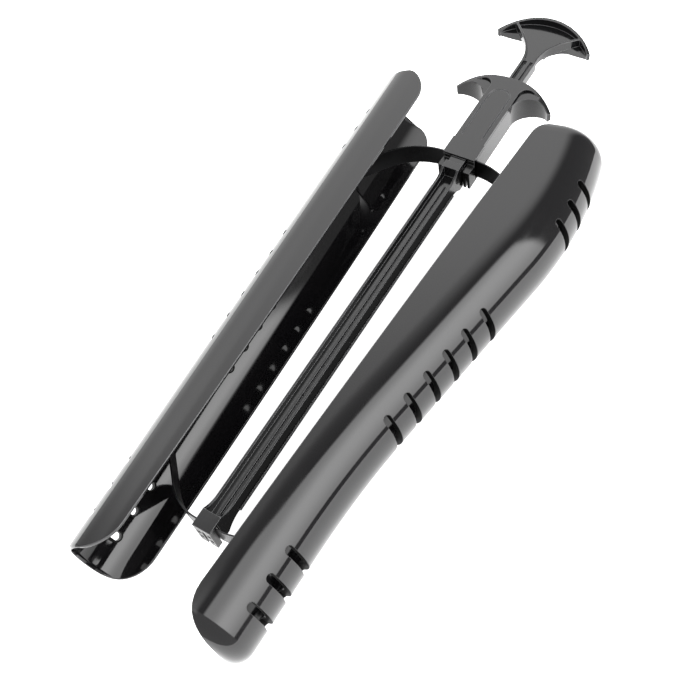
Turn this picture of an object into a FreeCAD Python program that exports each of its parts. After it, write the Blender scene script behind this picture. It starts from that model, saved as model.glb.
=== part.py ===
"""Boot-shaft stretcher: two long shells spread by spring strips, drawn in by a squeeze handle.

Lengths are in mm. +Y runs along the push rod towards the handle, +X runs across to the calf shell,
and +Z is up from the table, with the stretcher lying on the long rims of its two shells.
"""
import math
import os

import FreeCAD
import Part
from FreeCAD import Vector

# Shells: a U section that follows a crown line made of straight runs and turns
SHELL_HALF_WIDTH = 24.0
SHELL_WALL = 1.8
SHELL_BLOCK_DEPTH = 60.0
END_MARGIN = 0.05
TURN_STEP_DEG = 3.6
SHIN_START_X = 51.8
SHIN_START_Y = -47.5
SHIN_START_DEG = 2.85
SHIN_RUN = 324.0
SHIN_RIM_LOW = 25.1
SHIN_RIM_MID = 29.6
SHIN_RIM_HIGH = 36.6
SHIN_LOW_CORNER = 19.7
SHIN_HIGH_CORNER = 20.0
CALF_START_X = 48.9
CALF_START_Y = -51.6
CALF_START_DEG = 1.37
CALF_LOW_RUN = 61.9
CALF_HOLLOW_RADIUS = 512.5
CALF_HOLLOW_DEG = 8.15
CALF_MIDDLE_RUN = 103.8
CALF_BULGE_RADIUS = 221.0
CALF_BULGE_DEG = 21.0
CALF_TOP_RUN = 12.7
CALF_RIM_LOW = 19.8
CALF_RIM_MID = 27.7
CALF_RIM_HIGH = 37.8
CALF_LOW_CORNER = 20.0
CALF_HIGH_CORNER = 9.6
CALF_LOW_CURL = 6.9
CALF_HIGH_CURL = 9.4
RIM_LOW_Y = -75.0
RIM_HIGH_Y = 307.0

# Vent slots across each shell's crown
SLOT_WIDTH = 4.2
SLOT_HALF_LENGTH = 16.8
SLOT_DEPTH = 30.0
SLOT_PITCH = 14.5
LOWER_SLOT_FIRST = -28.5
LOWER_SLOT_COUNT = 3
MIDDLE_SLOT_FIRST = 75.0
MIDDLE_SLOT_COUNT = 6
UPPER_SLOT_FIRST = 214.0
UPPER_SLOT_COUNT = 3

# Spring strips
STRIP_WIDTH = 12.7
STRIP_THICK = 0.8
UPPER_ROOT_X = 7.6
UPPER_ROOT_Y = 242.0
UPPER_LEAD = 2.4
UPPER_BEND_RADIUS = 38.0
UPPER_BEND_DEG = 54.0
UPPER_SHIN_REACH = 28.5
UPPER_CALF_REACH = 45.2
UPPER_BEAD_RADIUS = 1.2
LOWER_ROOT_X = 3.2
LOWER_ROOT_Y = -5.35
LOWER_LEAD = 3.2
LOWER_BEND_RADIUS = 28.0
LOWER_BEND_DEG = 46.0
LOWER_SHIN_REACH = 31.8
LOWER_CALF_REACH = 24.7
LOWER_BEAD_RADIUS = 1.05
EYE_INNER = 2.3
EYE_OUTER = 3.1

# Pins and the lugs inside the shells that hold them
PIN_RADIUS = 1.2
PIN_CLEARANCE = 0.05
LUG_INNER_Z = 6.9
LUG_THICK = 2.2
LUG_HALF_WIDTH = 3.6

# Push rod
BAR_HALF_WIDTH = 5.25
BAR_HALF_DEPTH = 4.5
BAR_WALL = 1.4
BAR_FOOT = 0.8
BAR_FOOT_THICK = 1.2
WEB_HALF = 0.8
RIB_HALF_WIDTH = 1.0
RIB_HALF_DEPTH = 2.2
HUB_HALF_DEPTH = 8.25
HUB_HEIGHT = 9.4
HUB_BODY_BOTTOM = -4.0
FLARE_LENGTH = 10.0
LAND_BOTTOM = 230.0
LAND_TOP = 235.1
UPPER_FLARE_START = 222.0
STEM_HALF_WIDTH = 4.5
STEM_HALF_DEPTH = 3.0
STEM_WALL = 1.4
POST_HALF_WIDTH = 1.2
POST_BACK = -3.0

# Palm handle at the top of the rod
ARCH_TOP = 363.0
ARCH_RADIUS = 37.8
ARCH_THICK = 2.0
ARCH_TIP_DEG = 53.9
ARCH_HALF_DEPTH = 6.8
ARCH_TIP_HALF_DEPTH = 1.8
ARCH_WALL = 1.4
FRONT_FLARE_DROP = 34.6
FRONT_FLARE_RADIUS = 20.0
FRONT_FLARE_DEG = 42.0
BACK_FLARE_DROP = 22.5
BACK_FLARE_RADIUS = 10.0
BACK_FLARE_DEG = 104.0
HANDLE_TAPER = 0.17

# Finger grip, whose wings reach as far out as the palm handle's tips
WING_TIP_X = ARCH_RADIUS * math.sin(math.radians(ARCH_TIP_DEG))
GRIP_BOTTOM = 240.0
FRONT_PLATE_BACK = 6.65
COLLAR_HALF_WIDTH = 9.8
COLLAR_TOP = 252.6
SLEEVE_HALF_WIDTH = 9.2
FLANGE_TOP = 306.5
FLANGE_RADIUS = 43.5
FLANGE_THICK = 2.2
WING_TIP_HALF_DEPTH = 1.8
FRONT_WING_X = 17.0
FRONT_FILLET = 5.0
BACK_FILLET = 11.0
STEM_CLEARANCE = 0.3
GUIDE_CLEARANCE = 0.4
GUIDE_BOTTOM = 235.6
BACK_BOTTOM = 240.5
STRIP_POCKET_TOP = 243.5
STRIP_POCKET_IN = 5.9
POCKET_LIP = 0.6
POCKET_LIP_X = 9.3
POCKET_BACK = -6.7
PANEL_HALF_WIDTH = 6.6
PANEL_TOP = 296.0
PANEL_BOTTOM = 256.0
PANEL_GROOVE = 0.7
PANEL_GROOVE_DEPTH = 0.5

# Keepers that close the strip pockets
UPPER_KEEPER_BOTTOM = 233.4
UPPER_KEEPER_IN = 5.75
UPPER_BRIDGE_BOTTOM = 236.2
UPPER_BRIDGE_FRONT = -5.75
UPPER_SLIT_X = 7.3
UPPER_SLIT_WIDTH = 1.0
UPPER_SLIT_TOP = 237.5
UPPER_SLIT_FRONT = -1.0
LOWER_KEEPER_TOP = -6.7
LOWER_KEEPER_BACK = -9.4
LOWER_KEEPER_IN = 0.9
LOWER_KEEPER_OUT = 5.0
LOWER_BRIDGE_BACK = 4.4
LOWER_LIP_X = 4.6
LOWER_LIP = 0.6
WINDOW_X = 2.0
WINDOW_WIDTH = 2.0
WINDOW_DEPTH = 2.6
WINDOW_FRONT = 3.4
WINDOW_STEP = 5.6


def box(x0, x1, y0, y1, z0, z1):
    return Part.makeBox(x1 - x0, y1 - y0, z1 - z0, Vector(x0, y0, z0))


def pair(x0, x1, y0, y1, z0, z1):
    """The same block on the right and on the left."""
    return [box(x0, x1, y0, y1, z0, z1), box(-x1, -x0, y0, y1, z0, z1)]


def post(x, y, radius, z0, z1):
    return Part.makeCylinder(radius, z1 - z0, Vector(x, y, z0))


def fuse(shapes):
    return shapes[0].fuse(shapes[1:]).removeSplitter()


def line(a, b):
    return Part.makeLine(a, b)


def arc(a, middle, b):
    return Part.Arc(a, middle, b).toShape()


def slab(edges, depth):
    """A plate from a closed outline, raised by a vector."""
    return Part.Face(Part.Wire(Part.__sortEdges__(edges))).extrude(depth)


def polygon(points, depth):
    return Part.Face(Part.makePolygon(points + points[:1])).extrude(depth)


# Shells, built as the right-hand one and mirrored for the left
def outward(heading):
    return Vector(math.cos(heading), -math.sin(heading), 0)


def ahead(heading):
    return Vector(math.sin(heading), math.cos(heading), 0)


def section(crown, heading, half, deep):
    """U section behind a point on the crown line: two straight walls and a half-round crown."""
    up = Vector(0, 0, half)
    centre = crown - outward(heading) * half
    back = crown - outward(heading) * deep
    edges = [arc(centre - up, crown, centre + up), line(centre + up, back + up), line(back + up, back - up),
             line(back - up, centre - up)]
    return Part.Face(Part.Wire(Part.__sortEdges__(edges)))


def crown_line(start, heading, steps):
    """Corner points and headings of the crown line, with each turn taken in short straight lengths."""
    points = [start]
    headings = []
    for radius, amount in steps:
        count = math.ceil(abs(amount) / TURN_STEP_DEG) if radius else 1
        part = math.radians(amount) / count if radius else 0
        length = 2 * radius * math.sin(abs(part) / 2) if radius else amount
        for n in range(count):
            headings.append(heading + part / 2)
            points.append(points[-1] + ahead(headings[-1]) * length)
            heading += part
    return points, headings


def mitres(points, headings, inset, stop):
    """Crown line moved inwards, with the heading that halves the angle at each corner."""
    halves = [headings[0]] + [(a + b) / 2 for a, b in zip(headings, headings[1:])] + [headings[-1]]
    near = [headings[0]] + headings
    moved = [p - outward(h) * (inset / math.cos(h - g)) for p, h, g in zip(points, halves, near)]
    moved[0] = moved[0] + ahead(headings[0]) * stop
    moved[-1] = moved[-1] - ahead(headings[-1]) * stop
    return moved, halves


def end_edges(block, end, heading, deep):
    """Edges round one end face of a block, without the one at its deep side."""
    found = []
    for edge in block.Edges:
        middle = edge.valueAt((edge.FirstParameter + edge.LastParameter) / 2)
        points = [middle] + [v.Point for v in edge.Vertexes]
        flat = all(abs((p - end).dot(ahead(heading))) < 0.01 for p in points)
        if flat and (middle - end).dot(outward(heading)) > 0.1 - deep:
            found.append(edge)
    return found


def bulk(points, headings, inset, curls):
    """Solid block under the crown line, mitred at its corners and rolled over at both ends."""
    half = SHELL_HALF_WIDTH - inset
    deep = SHELL_BLOCK_DEPTH
    moved, halves = mitres(points, headings, inset, inset if curls else -inset)
    down = Vector(0, 0, -half - 1)
    over = deep * math.tan(math.radians(TURN_STEP_DEG))
    pieces = []
    for n, heading in enumerate(headings):
        a, b = moved[n], moved[n + 1]
        face = section(a - ahead(heading) * over, heading, half, deep)
        length = face.extrude(ahead(heading) * ((b - a).Length + 2 * over))
        way_a, way_b = outward(halves[n]), outward(halves[n + 1])
        wedge = [a + way_a * over, b + way_b * over, b - way_b * (deep + over), a - way_a * (deep + over)]
        pieces.append(length.common(polygon([p + down for p in wedge], Vector(0, 0, 2 * half + 2))))
    block = pieces[0] if len(pieces) == 1 else fuse(pieces)
    for end, heading, curl in zip((moved[0], moved[-1]), (headings[0], headings[-1]), curls):
        rolled = end_edges(block, end, heading, deep)
        block = block.makeChamfer((curl - inset) * (2 - math.sqrt(2)), rolled)
    return block


def mouth(leg, curl):
    """Opening through a rolled end, which leaves only the rolled lip."""
    point, heading = leg[0], leg[1]
    face = section(point - outward(heading) * curl, heading, SHELL_HALF_WIDTH - curl, SHELL_BLOCK_DEPTH)
    face.translate(ahead(heading) * -2 * SHELL_WALL)
    return face.extrude(ahead(heading) * 4 * SHELL_WALL)


def side_outline(legs, rims, corners):
    """Shell seen from the side, as a block through it: the long rim and its two rounded corners."""
    tall = SHELL_HALF_WIDTH * 2
    far = SHELL_BLOCK_DEPTH * 3
    low, middle, high = rims
    down = Vector(0, 0, -tall / 2 - 1)
    rise = Vector(0, 0, tall + 2)
    a = Vector(low, RIM_LOW_Y, 0) + down
    b = Vector(high, RIM_HIGH_Y, 0) + down
    mid = Vector(middle, (RIM_LOW_Y + RIM_HIGH_Y) / 2, 0) + down
    far_a = a + Vector(far, 0, 0)
    far_b = b + Vector(far, 0, 0)
    region = slab([arc(a, mid, b), line(b, far_b), line(far_b, far_a), line(far_a, a)], rise)
    corners_at = []
    for leg, way in ((legs[0], -1), (legs[-1], 1)):
        point = leg[0] + ahead(leg[1]) * (way * END_MARGIN) + down
        corners_at += [point - outward(leg[1]) * far * way, point + outward(leg[1]) * far * way]
    region = region.common(polygon(corners_at, rise))
    for leg, radius in ((legs[0], corners[0]), (legs[-1], corners[1])):
        near = None
        for edge in region.Edges:
            top, bottom = edge.Vertexes[0].Point, edge.Vertexes[-1].Point
            upright = abs(top.x - bottom.x) + abs(top.y - bottom.y) < 0.01
            here = abs((top - leg[0]).dot(ahead(leg[1]))) < 1.0
            if upright and here and (near is None or top.x < near.Vertexes[0].Point.x):
                near = edge
        region = region.makeFillet(radius, [near])
    return region


def slot(y, x_from):
    """One vent slot across the crown, with its corners cut off at each end."""
    wide = SLOT_WIDTH / 2
    tall = SLOT_HALF_LENGTH
    corner = wide * (2 - math.sqrt(2))
    points = []
    for side, up in ((1, 1), (-1, 1), (-1, -1), (1, -1)):
        ends = [Vector(x_from, y + side * wide, up * (tall - corner)),
                Vector(x_from, y + side * (wide - corner), up * tall)]
        points += ends if side == up else list(reversed(ends))
    return polygon(points, Vector(SLOT_DEPTH, 0, 0))


def slot_rows():
    groups = ((LOWER_SLOT_FIRST, LOWER_SLOT_COUNT), (MIDDLE_SLOT_FIRST, MIDDLE_SLOT_COUNT),
              (UPPER_SLOT_FIRST, UPPER_SLOT_COUNT))
    return [first + n * SLOT_PITCH for first, count in groups for n in range(count)]


def crown_at(points, y):
    """Crown's distance from the rod at a height."""
    for one, two in zip(points, points[1:]):
        if y <= two.y or two is points[-1]:
            return one.x + (two.x - one.x) * (y - one.y) / (two.y - one.y)


def lugs(eye):
    """Two ears that stand on the crown's inside and carry a strip's pin."""
    x, y = eye
    wide = LUG_HALF_WIDTH
    short = wide * (math.sqrt(2) - 1)
    ears = []
    half = [(-wide, short), (-short, wide), (SLOT_DEPTH, wide)]
    outline = half + [(a, -b) for a, b in reversed(half)]
    for z in (LUG_INNER_Z, -LUG_INNER_Z - LUG_THICK):
        ears.append(polygon([Vector(x + a, y + b, z) for a, b in outline], Vector(0, 0, LUG_THICK)))
    return ears


def shell(start, heading, steps, curls, rims, corners, eyes):
    points, headings = crown_line(start, heading, steps)
    ends = ((points[0], headings[0]), (points[-1], headings[-1]))
    outer = bulk(points, headings, 0, curls)
    inner = bulk(points, headings, SHELL_WALL, curls)
    side = side_outline(ends, rims, corners)
    mouths = [mouth(end, curl) for end, curl in zip(ends, curls)]
    wall = outer.cut([inner] + mouths).common(side)
    wall = wall.cut([slot(y, crown_at(points, y) - SLOT_DEPTH / 2) for y in slot_rows()])
    ears = []
    for eye in eyes:
        ears.extend(lugs(eye))
    wall = wall.fuse([ear.common(outer) for ear in ears])
    reach = LUG_INNER_Z + LUG_THICK + 0.1
    return wall.cut([post(x, y, PIN_RADIUS + PIN_CLEARANCE, -reach, reach) for x, y in eyes])


# Spring strips
def strip_eye(root_x, root_y, side, up, lead, radius, bend_deg, reach):
    bend = math.radians(bend_deg)
    along = lead + radius * math.sin(bend) + reach * math.cos(bend)
    across = radius * (1 - math.cos(bend)) + reach * math.sin(bend)
    return root_x + side * along, root_y + up * across


def strip(root_x, root_y, side, up, lead, radius, bend_deg, reach, bead):
    """Spring strip: a bead at its root, a bend, a straight run, and a rolled eye at its tip."""
    half = STRIP_WIDTH / 2
    thin = STRIP_THICK / 2
    bend = math.radians(bend_deg)
    run = reach - (EYE_INNER + EYE_OUTER) / 2

    def at(along, across):
        return Vector(root_x + side * along, root_y + up * across, -half)

    def on_bend(turn, offset):
        r = radius - offset
        return at(lead + r * math.sin(turn), radius - r * math.cos(turn))

    def on_run(length, offset):
        along = lead + (radius - offset) * math.sin(bend) + length * math.cos(bend)
        across = radius - (radius - offset) * math.cos(bend) + length * math.sin(bend)
        return at(along, across)

    edges = [
        line(at(0, -thin), at(0, thin)),
        line(at(0, thin), at(lead, thin)),
        arc(at(lead, thin), on_bend(bend / 2, thin), on_bend(bend, thin)),
        line(on_bend(bend, thin), on_run(run, thin)),
        line(on_run(run, thin), on_run(run, -thin)),
        line(on_run(run, -thin), on_bend(bend, -thin)),
        arc(on_bend(bend, -thin), on_bend(bend / 2, -thin), at(lead, -thin)),
        line(at(lead, -thin), at(0, -thin)),
    ]
    x, y = strip_eye(root_x, root_y, side, up, lead, radius, bend_deg, reach)
    eye = post(x, y, EYE_OUTER, -half, half).cut(post(x, y, EYE_INNER, -half, half))
    return fuse([slab(edges, Vector(0, 0, STRIP_WIDTH)), post(root_x, root_y, bead, -half, half), eye])


# Push rod
def rod_cheek(side):
    """Side wall of the rod, seen from the side: shallow along the bar and deep at both ends."""
    out = side * BAR_HALF_WIDTH
    deep = HUB_HALF_DEPTH
    thin = BAR_HALF_DEPTH
    edges = []
    for s in (1, -1):
        low = Vector(out, HUB_BODY_BOTTOM, s * deep)
        foot = Vector(out, 0, s * deep)
        foot_mid = Vector(out, FLARE_LENGTH * 0.35, s * (thin + (deep - thin) * 0.36))
        bar_low = Vector(out, FLARE_LENGTH, s * thin)
        bar_high = Vector(out, UPPER_FLARE_START, s * thin)
        rise = LAND_BOTTOM - UPPER_FLARE_START
        head_mid = Vector(out, UPPER_FLARE_START + rise * 0.6, s * (thin + (deep - thin) * 0.33))
        head = Vector(out, LAND_BOTTOM, s * deep)
        top = Vector(out, LAND_TOP, s * deep)
        edges += [line(low, foot), arc(foot, foot_mid, bar_low), line(bar_low, bar_high),
                  arc(bar_high, head_mid, head), line(head, top)]
    edges.append(line(Vector(out, HUB_BODY_BOTTOM, deep), Vector(out, HUB_BODY_BOTTOM, -deep)))
    edges.append(line(Vector(out, LAND_TOP, deep), Vector(out, LAND_TOP, -deep)))
    return slab(edges, Vector(-side * BAR_WALL, 0, 0))


def arch_point(radius, turn_deg):
    turn = math.radians(turn_deg)
    return Vector(radius * math.sin(turn), ARCH_TOP - ARCH_RADIUS + radius * math.cos(turn), 0)


def handle_side(side, inset, front):
    """Points down one side of the handle from its tip to the stem, seen from the front."""
    radius = (FRONT_FLARE_RADIUS if front else BACK_FLARE_RADIUS) + inset
    bend = math.radians(FRONT_FLARE_DEG if front else BACK_FLARE_DEG)
    drop = FRONT_FLARE_DROP if front else BACK_FLARE_DROP
    x = STEM_HALF_WIDTH - inset + radius
    y = ARCH_TOP - drop
    flare = [(x - radius * math.cos(bend * n / 2), y + radius * math.sin(bend * n / 2)) for n in range(3)]
    along = (math.sin(bend), math.cos(bend))
    under = ARCH_RADIUS - ARCH_THICK
    centre = ARCH_TOP - ARCH_RADIUS
    px, py = flare[2][0], flare[2][1] - centre
    half_b = px * along[0] + py * along[1]
    run = -half_b + math.sqrt(max(half_b * half_b - px * px - py * py + under * under, 0))
    meet = (flare[2][0] + along[0] * run, flare[2][1] + along[1] * run)
    return [Vector(side * a, b, 0) for a, b in flare + [meet]]


def handle_outline(inset, front):
    """Front view of the handle: the arch's top, its tips, its underside, the flares and the neck."""
    under = ARCH_RADIUS - ARCH_THICK
    outer = under if inset else ARCH_RADIUS
    ends = []
    edges = []
    for side in (1, -1):
        low, bend, out, meet = handle_side(side, inset, front)
        ends.append(low)
        edges += [arc(low, bend, out), line(out, meet)]
        if not inset:
            turn = math.degrees(math.atan2(abs(meet.x), meet.y - ARCH_TOP + ARCH_RADIUS))
            tip = arch_point(ARCH_RADIUS, side * ARCH_TIP_DEG)
            if turn < ARCH_TIP_DEG - 1:
                tip_in = arch_point(under, side * ARCH_TIP_DEG)
                middle = arch_point(under, side * (turn + ARCH_TIP_DEG) / 2)
                edges += [arc(meet, middle, tip_in), line(tip_in, tip)]
            else:
                edges.append(line(meet, tip))
            ends.append(tip)
        else:
            ends.append(meet)
    edges.append(line(ends[0], ends[2]))
    edges.append(arc(ends[1], arch_point(outer, 0), ends[3]))
    return edges


def lens(half_x, flat_x, half_depth, tip_depth, y0, y1):
    """Block with a lens-shaped plan, full depth over its flat middle and thin at its two tips."""
    rise = Vector(0, y1 - y0, 0)
    drop = half_depth - tip_depth
    run = half_x - flat_x
    radius = (run * run + drop * drop) / (2 * drop)
    turn = math.asin(run / radius) / 2
    mid_x = flat_x + radius * math.sin(turn)
    mid_z = half_depth - radius + radius * math.cos(turn)
    edges = []
    for side in (1, -1):
        for z in (1, -1):
            edges.append(arc(Vector(side * flat_x, y0, z * half_depth), Vector(side * mid_x, y0, z * mid_z),
                             Vector(side * half_x, y0, z * tip_depth)))
        edges.append(line(Vector(side * half_x, y0, tip_depth), Vector(side * half_x, y0, -tip_depth)))
        if flat_x:
            edges.append(line(Vector(-flat_x, y0, side * half_depth), Vector(flat_x, y0, side * half_depth)))
    return slab(edges, rise)


def handle():
    """Curved palm plate on a web, with the stem's two walls flaring out to meet it."""
    deep = ARCH_HALF_DEPTH
    halves = []
    for front in (True, False):
        body = slab(handle_outline(0, front), Vector(0, 0, deep if front else -deep))
        pocket = slab(handle_outline(ARCH_WALL, front), Vector(0, 0, deep if front else -deep))
        pocket.translate(Vector(0, 0, RIB_HALF_DEPTH if front else -RIB_HALF_DEPTH))
        halves.append(body.cut(pocket))
    low = ARCH_TOP - FRONT_FLARE_DROP - 1
    tip = WING_TIP_X
    whole = halves[0].fuse(halves[1])
    whole = whole.common(lens(tip + 0.5, 0, deep, ARCH_TIP_HALF_DEPTH, low, ARCH_TOP + 1))
    top = STEM_HALF_DEPTH + HANDLE_TAPER * (ARCH_TOP + 1 - low)
    taper = [Vector(-tip - 1, low, STEM_HALF_DEPTH), Vector(-tip - 1, ARCH_TOP + 1, top),
             Vector(-tip - 1, ARCH_TOP + 1, -top), Vector(-tip - 1, low, -STEM_HALF_DEPTH)]
    return whole.common(polygon(taper, Vector(2 * tip + 2, 0, 0)))


def push_rod():
    deep = HUB_HALF_DEPTH
    stem_top = ARCH_TOP - FRONT_FLARE_DROP
    pieces = [rod_cheek(1), rod_cheek(-1)]
    pieces.append(box(-BAR_HALF_WIDTH, BAR_HALF_WIDTH, 0, LAND_TOP, -WEB_HALF, WEB_HALF))
    pieces.append(box(-RIB_HALF_WIDTH, RIB_HALF_WIDTH, 0, UPPER_FLARE_START, -RIB_HALF_DEPTH, RIB_HALF_DEPTH))
    pieces += pair(BAR_HALF_WIDTH - 0.2, BAR_HALF_WIDTH + BAR_FOOT, FLARE_LENGTH, UPPER_FLARE_START,
                   -BAR_HALF_DEPTH, -BAR_HALF_DEPTH + BAR_FOOT_THICK)
    pieces.append(box(-BAR_HALF_WIDTH, BAR_HALF_WIDTH, LAND_BOTTOM, LAND_TOP, -deep, deep))
    pieces.append(box(-BAR_HALF_WIDTH, BAR_HALF_WIDTH, HUB_BODY_BOTTOM, 0, -deep, deep))
    pieces.append(box(-BAR_HALF_WIDTH, BAR_HALF_WIDTH, -HUB_HEIGHT, 0, FRONT_PLATE_BACK, deep))
    pieces.append(box(-POST_HALF_WIDTH, POST_HALF_WIDTH, LOWER_KEEPER_TOP, HUB_BODY_BOTTOM, POST_BACK, deep))
    pieces += pair(STEM_HALF_WIDTH - STEM_WALL, STEM_HALF_WIDTH, LAND_TOP - 1, stem_top, -STEM_HALF_DEPTH,
                   STEM_HALF_DEPTH)
    pieces.append(box(-STEM_HALF_WIDTH, STEM_HALF_WIDTH, LAND_TOP - 1, stem_top, -WEB_HALF, WEB_HALF))
    pieces.append(box(-RIB_HALF_WIDTH, RIB_HALF_WIDTH, LAND_TOP - 1, stem_top, -RIB_HALF_DEPTH,
                      RIB_HALF_DEPTH))
    pieces.append(handle())
    return fuse(pieces)


# Finger grip
def flange_point(radius, turn):
    return Vector(radius * math.sin(turn), FLANGE_TOP - FLANGE_RADIUS + radius * math.cos(turn), 0)


def grip_outline(fillet, bottom):
    """Collar, sleeve and winged top of the grip, seen from the front."""
    centre = FLANGE_TOP - FLANGE_RADIUS
    under = FLANGE_RADIUS - FLANGE_THICK
    tip_turn = math.asin(WING_TIP_X / FLANGE_RADIUS)
    fx = SLEEVE_HALF_WIDTH + fillet
    fy = centre + math.sqrt((under - fillet) ** 2 - fx ** 2)
    turn = math.atan2(fx, fy - centre)
    half_turn = (math.pi * 1.5 - turn) / 2
    edges = [arc(flange_point(FLANGE_RADIUS, -tip_turn), flange_point(FLANGE_RADIUS, 0),
                 flange_point(FLANGE_RADIUS, tip_turn)),
             line(Vector(COLLAR_HALF_WIDTH, bottom, 0), Vector(-COLLAR_HALF_WIDTH, bottom, 0))]
    for side in (1, -1):
        low = Vector(side * COLLAR_HALF_WIDTH, bottom, 0)
        step = Vector(side * COLLAR_HALF_WIDTH, COLLAR_TOP, 0)
        neck = Vector(side * SLEEVE_HALF_WIDTH, COLLAR_TOP, 0)
        root = Vector(side * SLEEVE_HALF_WIDTH, fy, 0)
        bend = Vector(side * (fx + fillet * math.cos(half_turn)), fy + fillet * math.sin(half_turn), 0)
        wing = flange_point(under, side * turn)
        mid = flange_point(under, side * (turn + tip_turn) / 2)
        tip_low = flange_point(under, side * tip_turn)
        tip = flange_point(FLANGE_RADIUS, side * tip_turn)
        edges += [line(low, step), line(step, neck), line(neck, root), arc(root, bend, wing),
                  arc(wing, mid, tip_low), line(tip_low, tip)]
    return edges


def wing_plan():
    return lens(WING_TIP_X + 0.5, COLLAR_HALF_WIDTH, HUB_HALF_DEPTH, WING_TIP_HALF_DEPTH, UPPER_KEEPER_BOTTOM,
                FLANGE_TOP + 1)


def panel_groove():
    """Fine groove round the thumb panel on the grip's face: up both sides and over the top."""
    z = HUB_HALF_DEPTH - PANEL_GROOVE_DEPTH
    height = PANEL_GROOVE_DEPTH + 1.0
    centre = PANEL_TOP - PANEL_HALF_WIDTH
    wide = PANEL_HALF_WIDTH
    narrow = PANEL_HALF_WIDTH - PANEL_GROOVE

    def block(half):
        flat = box(-half, half, PANEL_BOTTOM, centre, z, z + height)
        return flat.fuse(post(0, centre, half, z, z + height))

    return block(wide).cut(block(narrow))


def grip_front():
    plate = slab(grip_outline(FRONT_FILLET, GRIP_BOTTOM), Vector(0, 0, HUB_HALF_DEPTH - FRONT_PLATE_BACK))
    plate.translate(Vector(0, 0, FRONT_PLATE_BACK))
    guide = box(-STEM_HALF_WIDTH, STEM_HALF_WIDTH, GUIDE_BOTTOM, FLANGE_TOP - 1.0,
                STEM_HALF_DEPTH + GUIDE_CLEARANCE, FRONT_PLATE_BACK)
    middle = box(-FRONT_WING_X, FRONT_WING_X, GRIP_BOTTOM - 1, FLANGE_TOP + 1, FRONT_PLATE_BACK - 1,
                 HUB_HALF_DEPTH + 1)
    return fuse([plate.common(middle).common(wing_plan()).cut(panel_groove()), guide])


def grip_back():
    body = slab(grip_outline(BACK_FILLET, BACK_BOTTOM), Vector(0, 0, FRONT_PLATE_BACK + HUB_HALF_DEPTH))
    body.translate(Vector(0, 0, -HUB_HALF_DEPTH))
    ends = slab(grip_outline(FRONT_FILLET, BACK_BOTTOM), Vector(0, 0, 2 * HUB_HALF_DEPTH))
    ends.translate(Vector(0, 0, -HUB_HALF_DEPTH))
    tips = pair(FRONT_WING_X, 2 * FLANGE_RADIUS, BACK_BOTTOM, FLANGE_TOP + 1, -HUB_HALF_DEPTH, HUB_HALF_DEPTH)
    body = fuse([body] + [ends.common(tip) for tip in tips]).common(wing_plan())
    wide = STEM_HALF_WIDTH + STEM_CLEARANCE
    cuts = [box(-wide, wide, BACK_BOTTOM - 1, FLANGE_TOP + 1, -STEM_HALF_DEPTH - GUIDE_CLEARANCE,
                FRONT_PLATE_BACK + 1)]
    cuts += pair(STRIP_POCKET_IN, POCKET_LIP_X, BACK_BOTTOM - 1, STRIP_POCKET_TOP, POCKET_BACK,
                 FRONT_PLATE_BACK + 1)
    cuts += pair(POCKET_LIP_X - 0.1, COLLAR_HALF_WIDTH + 1, BACK_BOTTOM - 1, STRIP_POCKET_TOP - POCKET_LIP,
                 POCKET_BACK, FRONT_PLATE_BACK + 1)
    return body.cut(cuts)


def upper_keeper():
    pieces = pair(UPPER_KEEPER_IN, COLLAR_HALF_WIDTH, UPPER_KEEPER_BOTTOM, BACK_BOTTOM, -HUB_HALF_DEPTH,
                  FRONT_PLATE_BACK)
    pieces.append(box(-COLLAR_HALF_WIDTH, COLLAR_HALF_WIDTH, UPPER_BRIDGE_BOTTOM, BACK_BOTTOM,
                      -HUB_HALF_DEPTH, UPPER_BRIDGE_FRONT))
    slits = pair(UPPER_SLIT_X, UPPER_SLIT_X + UPPER_SLIT_WIDTH, UPPER_KEEPER_BOTTOM - 1, UPPER_SLIT_TOP,
                 -HUB_HALF_DEPTH - 1, UPPER_SLIT_FRONT)
    front = pair(UPPER_KEEPER_IN - 1, COLLAR_HALF_WIDTH + 1, UPPER_KEEPER_BOTTOM - 1, GRIP_BOTTOM, 4.0,
                 FRONT_PLATE_BACK + 1)
    return fuse(pieces).cut(slits + front)


def lower_keeper():
    bottom = -HUB_HEIGHT
    pieces = pair(LOWER_KEEPER_IN, LOWER_KEEPER_OUT, bottom, LOWER_KEEPER_TOP, LOWER_KEEPER_BACK,
                  FRONT_PLATE_BACK)
    pieces.append(box(-LOWER_KEEPER_OUT, LOWER_KEEPER_OUT, bottom, LOWER_KEEPER_TOP, LOWER_BRIDGE_BACK,
                      FRONT_PLATE_BACK))
    pieces += pair(LOWER_LIP_X, LOWER_KEEPER_OUT, LOWER_KEEPER_TOP, LOWER_KEEPER_TOP + LOWER_LIP,
                   LOWER_KEEPER_BACK, FRONT_PLATE_BACK)
    windows = []
    for n in range(2):
        front = WINDOW_FRONT - n * WINDOW_STEP
        windows += pair(WINDOW_X, WINDOW_X + WINDOW_WIDTH, bottom - 1, LOWER_KEEPER_TOP + 1,
                        front - WINDOW_DEPTH, front)
    return fuse(pieces).cut(windows)


# Build every piece
upper = (UPPER_LEAD, UPPER_BEND_RADIUS, UPPER_BEND_DEG)
lower = (LOWER_LEAD, LOWER_BEND_RADIUS, LOWER_BEND_DEG)
strips = {
    "upper_left_spring": (-UPPER_ROOT_X, UPPER_ROOT_Y, -1, -1) + upper + (UPPER_SHIN_REACH,),
    "upper_right_spring": (UPPER_ROOT_X, UPPER_ROOT_Y, 1, -1) + upper + (UPPER_CALF_REACH,),
    "lower_left_spring": (-LOWER_ROOT_X, LOWER_ROOT_Y, -1, 1) + lower + (LOWER_SHIN_REACH,),
    "lower_right_spring": (LOWER_ROOT_X, LOWER_ROOT_Y, 1, 1) + lower + (LOWER_CALF_REACH,),
}
eyes = {name: strip_eye(*values) for name, values in strips.items()}

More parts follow.
